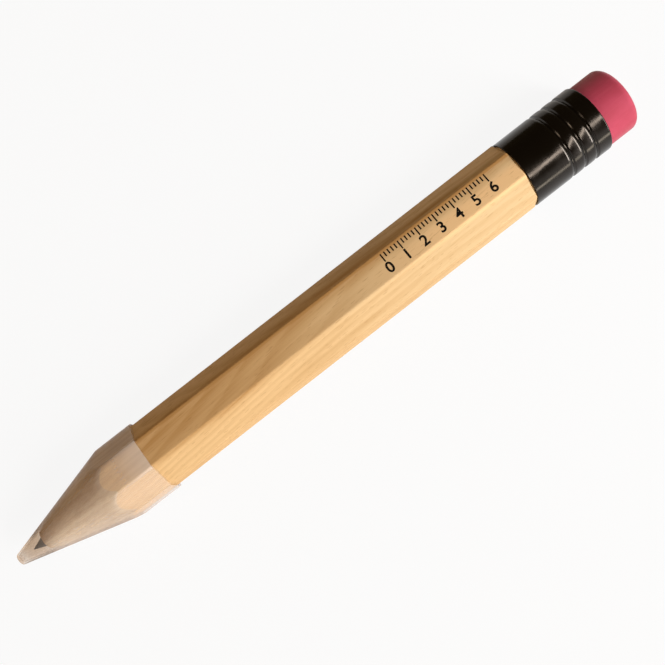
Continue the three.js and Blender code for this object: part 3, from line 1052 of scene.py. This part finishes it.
def add_number(shape, number):
    """A number of ink below its tick."""
    text = bpy.data.curves.new("number", "FONT")
    text.body = str(number)
    text.align_x = "CENTER"
    text.size = DIGIT_HEIGHT / FONT_CAP_SHARE * MM
    text.extrude = (INK_TOP - INK_BOTTOM) / 2 * MM
    text.offset = DIGIT_BOLD * MM
    holder = bpy.data.objects.new("number", text)
    bpy.context.scene.collection.objects.link(holder)
    bpy.context.view_layer.update()
    evaluated = holder.evaluated_get(bpy.context.evaluated_depsgraph_get())
    mesh = bpy.data.meshes.new_from_object(evaluated)
    height = BARREL_TOP + (INK_TOP + INK_BOTTOM) / 2
    offset = Vector((SCALE_START + number * CENTIMETRE, DIGIT_BASE, height)) * MM
    mesh.transform(Matrix.Translation(offset))
    shape.from_mesh(mesh)
    bpy.data.objects.remove(holder)
    bpy.data.meshes.remove(mesh)
    bpy.data.curves.remove(text)


def printed_scale(material):
    shape = bmesh.new()
    for tick in range(SCALE_CENTIMETRES * TICKS_PER_CENTIMETRE + 1):
        length = TICK_SHORT if tick % TICKS_PER_CENTIMETRE else TICK_LONG
        add_tick(shape, SCALE_START + tick * TICK_PITCH, length)
    for number in range(SCALE_CENTIMETRES + 1):
        add_number(shape, number)
    return finish_shape("printed_scale", shape, [material])


print_piece = printed_scale(printing_ink())
dress(print_piece, "pencil", "black_plastic")


# Floor, light and camera. Places and sizes of the floor and lamps are in metres.

FLOOR_SIZE = 6.0
FLOOR_CORNERS = 96
FLOOR_WHITE = 0.90
FLOOR_TONES = ((0.80, 0.80, 0.80, 1), (0.82, 0.82, 0.82, 1))
FLOOR_SPECK_SCALE = (0.02, 0.02, 0.02)
FLOOR_SPECK = (0.3, 0.7)
FLOOR_SHADE_ALONG = (128, 176, 0.0, 0.9)
FLOOR_SHADE_ACROSS = (5, 25)
BACKDROP = (0.975, 0.975, 0.975, 1)


def floor():
    """A pale floor that looks white but keeps a soft shadow. Gloss sees its shade behind the ferrule."""
    shape = bmesh.new()
    bmesh.ops.create_circle(shape, cap_ends=True, radius=FLOOR_SIZE / 2, segments=FLOOR_CORNERS)
    made = finish_shape("studio_floor", shape, [])
    material, tree = new_material("pale_studio_floor")
    point = tree.point()
    speck = tree.ease(tree.noise(point, FLOOR_SPECK_SCALE), *FLOOR_SPECK)
    matt = tree.add("BsdfDiffuse", {"Color": tree.blend(speck, *FLOOR_TONES)})
    glow = tree.add("Emission", {"Color": WHITE, "Strength": 1.0})
    along, across, _ = tree.parts(point)
    shaded = tree.times(tree.ease(along, *FLOOR_SHADE_ALONG), tree.ease(across, *FLOOR_SHADE_ACROSS))
    rays = tree.add("LightPath").outputs
    glossy = tree.times(rays["Is Glossy Ray"], tree.minus(1.0, shaded))
    seen = tree.larger(rays["Is Camera Ray"], tree.larger(glossy, rays["Is Transmission Ray"]))
    tree.finish(tree.mix(tree.times(seen, FLOOR_WHITE), matt, glow))
    made.data.materials.append(material)


SKY_LOW = (0.11, 0.078, 0.036, 1)
SKY_HIGH = (0.095, 0.066, 0.030, 1)
SKY_RISE = (0.0, 0.75)
FRONT_GLOW_RISE = (0.5, 0.1)
FRONT_GLOW_ACROSS = (-0.3, -0.85)


def sky():
    """A dim warm surround. Its white backdrop shows to the camera, and low in front to gloss."""
    world = bpy.data.worlds.new("studio_surround")
    bpy.context.scene.world = world
    tree = Tree(world)
    _, across, rise = tree.parts(tree.add("TexCoord").outputs["Generated"])
    tone = tree.blend(tree.ease(rise, *SKY_RISE), SKY_LOW, SKY_HIGH)
    low_front = tree.times(tree.ease(rise, *FRONT_GLOW_RISE), tree.ease(across, *FRONT_GLOW_ACROSS))
    rays = tree.add("LightPath").outputs
    seen = tree.larger(rays["Is Camera Ray"], rays["Is Transmission Ray"])
    seen = tree.larger(seen, tree.times(rays["Is Glossy Ray"], low_front))
    tree.finish(tree.add("Background", {"Color": tree.blend(seen, tone, BACKDROP), "Strength": 1.0}))


def stand(made, position, across, up, back):
    """Put a lamp or camera at a place, with its own three axes along these directions."""
    made.matrix_world = Matrix.Translation(position) @ Matrix((across, up, back)).transposed().to_4x4()


def soft_light(name, position, target, width, height, watts, colour, roll=0.0, spread=math.pi, in_gloss=True):
    """An area lamp whose width runs along the pencil, or is rolled from that about its own axis."""
    lamp = bpy.data.lights.new(name, "AREA")
    lamp.shape = "RECTANGLE"
    lamp.size = width
    lamp.size_y = height
    lamp.energy = watts
    lamp.color = colour
    lamp.spread = spread
    made = bpy.data.objects.new(name, lamp)
    place_at = Vector(position)
    back = (place_at - Vector(target)).normalized()
    level = (Vector((1, 0, 0)) - back * back.x).normalized()
    across = level * math.cos(roll) + back.cross(level) * math.sin(roll)
    stand(made, place_at, across, back.cross(across), back)
    made.visible_camera = False
    made.visible_glossy = in_gloss
    bpy.context.scene.collection.objects.link(made)


# Camera, in millimetres
CAMERA_PLACE = (-0.80, -102.48, 431.58)
CAMERA_TARGET = (3.40, -5.87, 17.88)
CAMERA_ROLL = math.radians(38.01)
CAMERA_LENS = 48.6
CAMERA_SENSOR = 36.0
CAMERA_CLIP = 10


def camera():
    data = bpy.data.cameras.new("photo_camera")
    data.sensor_fit = "HORIZONTAL"
    data.sensor_width = CAMERA_SENSOR
    data.lens = CAMERA_LENS
    data.clip_start = CAMERA_CLIP * MM
    made = bpy.data.objects.new("photo_camera", data)
    bpy.context.scene.collection.objects.link(made)
    position = Vector(CAMERA_PLACE) * MM
    back = (position - Vector(CAMERA_TARGET) * MM).normalized()
    level_up = (Vector((0, 1, 0)) - back * back.y).normalized()
    level_right = level_up.cross(back)
    up = level_up * math.cos(CAMERA_ROLL) + level_right * math.sin(CAMERA_ROLL)
    stand(made, position, up.cross(back), up, back)
    bpy.context.scene.camera = made


PENCIL_MIDDLE = (0, 0, 0.02)
UPPER_END = (0.12, 0, 0.02)
FERRULE_MIDDLE = (0.14, 0, 0.02)

floor()
sky()
soft_light("key_softbox", position=(2.15, -2.51, 1.38), target=PENCIL_MIDDLE, width=0.75, height=2.8,
           watts=152, colour=(1.0, 1.0, 1.0))
soft_light("fill_softbox", position=(-1.75, 0.62, 0.6), target=PENCIL_MIDDLE, width=1.2, height=0.8,
           watts=5.5, colour=(1.0, 0.55, 0.18), in_gloss=False)
soft_light("side_light", position=(-1.64, 0.266, 0.63), target=FERRULE_MIDDLE, width=0.4, height=0.4,
           watts=3.6, colour=(1.0, 0.85, 0.68))
soft_light("upper_softbox", position=(0.51, -0.31, 0.374), target=UPPER_END, width=0.16, height=0.16,
           watts=0.4, colour=(1.0, 0.95, 0.88))
soft_light("narrow_strip", position=(0.357, -0.42, 0.535), target=FERRULE_MIDDLE, width=0.4, height=0.07,
           watts=1.5, colour=(1.0, 0.95, 0.9), roll=math.radians(46))
soft_light("low_strip", position=(0.19, -0.155, 0.011), target=FERRULE_MIDDLE, width=0.1, height=0.02,
           watts=0.0047, colour=(1.0, 0.96, 0.84), spread=math.radians(70))
camera()
bpy.context.scene.view_settings.view_transform = "Standard"
